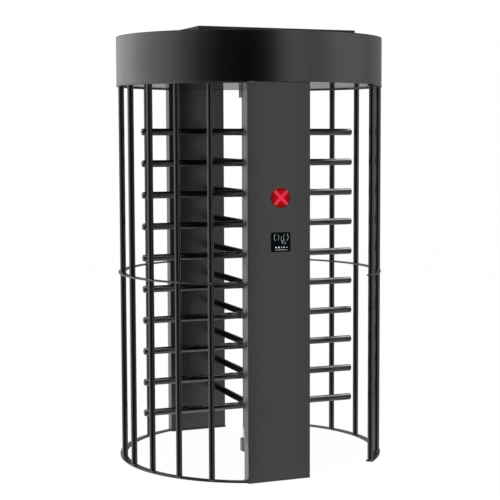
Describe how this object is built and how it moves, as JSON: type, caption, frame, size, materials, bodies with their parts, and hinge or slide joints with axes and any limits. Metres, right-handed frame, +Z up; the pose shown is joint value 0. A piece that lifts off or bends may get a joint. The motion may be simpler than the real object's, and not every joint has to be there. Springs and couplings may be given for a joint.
{
  "type": "full height turnstile",
  "caption": "Full height turnstile: a round cage of upright bars with two doorways, a four winged rotor, a drum canopy, and a lamp and card reader on the front post.",
  "frame": {"origin": "on the rotor's axis at floor level", "axes": "+Z up along the rotor's axis; -Y is the front, which has the lamp and the reader; +X is the side of the two doorways"},
  "size_m": [1.4658, 1.463, 2.341],
  "materials": {
    "black_coat": "semi-gloss powder coat with fine orange peel",
    "canopy_coat": "gloss powder coat",
    "ceiling_coat": "dull grey powder coat",
    "bare_steel": "turned, lightly oiled",
    "zinc_steel": "zinc plated, dull",
    "grey_casting": "satin grey enamel",
    "lamp_red": "glowing red lens",
    "lamp_white": "lit white cross",
    "black_plastic": "fine grained",
    "reader_gloss": "high gloss",
    "box_grey": "light grey, matt"
  },
  "bodies": {
    "frame": {"bottom_rings": "black_coat", "mid_rings": "black_coat", "top_rings": "black_coat", "left_bar_1": "black_coat", "left_bar_2": "black_coat", "left_bar_3": "black_coat", "left_bar_4": "black_coat", "left_bar_5": "black_coat", "left_bar_6": "black_coat", "left_bar_7": "black_coat", "left_bar_8": "black_coat", "right_bar_1": "black_coat", "right_bar_2": "black_coat", "right_bar_3": "black_coat", "right_bar_4": "black_coat", "right_bar_5": "black_coat", "right_bar_6": "black_coat", "front_post": "black_coat", "front_floor_plate": "black_coat", "front_head_beam": "zinc_steel", "rear_post": "black_coat", "rear_floor_plate": "black_coat", "rear_head_beam": "zinc_steel", "left_head_rail": "zinc_steel", "right_head_rail": "zinc_steel", "lock_plate": "zinc_steel", "motor_brackets": "zinc_steel", "canopy_drum": "canopy_coat", "canopy_floor": "ceiling_coat", "canopy_lid": "canopy_coat", "roof_cover": "canopy_coat", "bearing_cups": "black_coat", "rotor_bearings": "bare_steel", "pawl_pins": "bare_steel", "exit_solenoid": "grey_casting", "entry_solenoid": "grey_casting", "gear_motor": "grey_casting", "control_box": "box_grey", "power_supply": "zinc_steel", "lamp_body": "black_plastic", "lamp_lens": "lamp_red", "lamp_cross": "lamp_white", "reader_housing": "black_plastic", "reader_glass": "reader_gloss"},
    "rotor": {"rotor_column": "black_coat", "rotor_spindles": "bare_steel", "lock_wheel": "bare_steel", "wing_1": "black_coat", "wing_2": "black_coat", "wing_3": "black_coat", "wing_4": "black_coat"},
    "exit_pawl": {"exit_pawl": "bare_steel"},
    "entry_pawl": {"entry_pawl": "bare_steel"},
    "exit_plunger": {"exit_plunger": "bare_steel"},
    "entry_plunger": {"entry_plunger": "bare_steel"}
  },
  "joints": [
    {"name": "rotor_turn", "type": "hinge", "parent": "frame", "child": "rotor", "pos_m": [0, 0, 1], "axis": [0, 0, 1], "continuous": true},
    {"name": "exit_pawl_swing", "type": "hinge", "parent": "frame", "child": "exit_pawl", "pos_m": [0.07, 0.112, 2.131], "axis": [0, 0, 1], "range_deg": [0, 20]},
    {"name": "entry_pawl_swing", "type": "hinge", "parent": "frame", "child": "entry_pawl", "pos_m": [0.07, -0.112, 2.131], "axis": [0, 0, -1], "range_deg": [0, 20]},
    {"name": "exit_plunger_slide", "type": "slide", "parent": "frame", "child": "exit_plunger", "axis": [0, 1, 0], "range_m": [0, 0.011]},
    {"name": "entry_plunger_slide", "type": "slide", "parent": "frame", "child": "entry_plunger", "axis": [0, -1, 0], "range_m": [0, 0.011]}
  ],
  "couplings": [
    {"joint": "exit_plunger_slide", "follows": "exit_pawl_swing", "m_per_rad": 0.031355},
    {"joint": "entry_plunger_slide", "follows": "entry_pawl_swing", "m_per_rad": 0.031355}
  ]
}
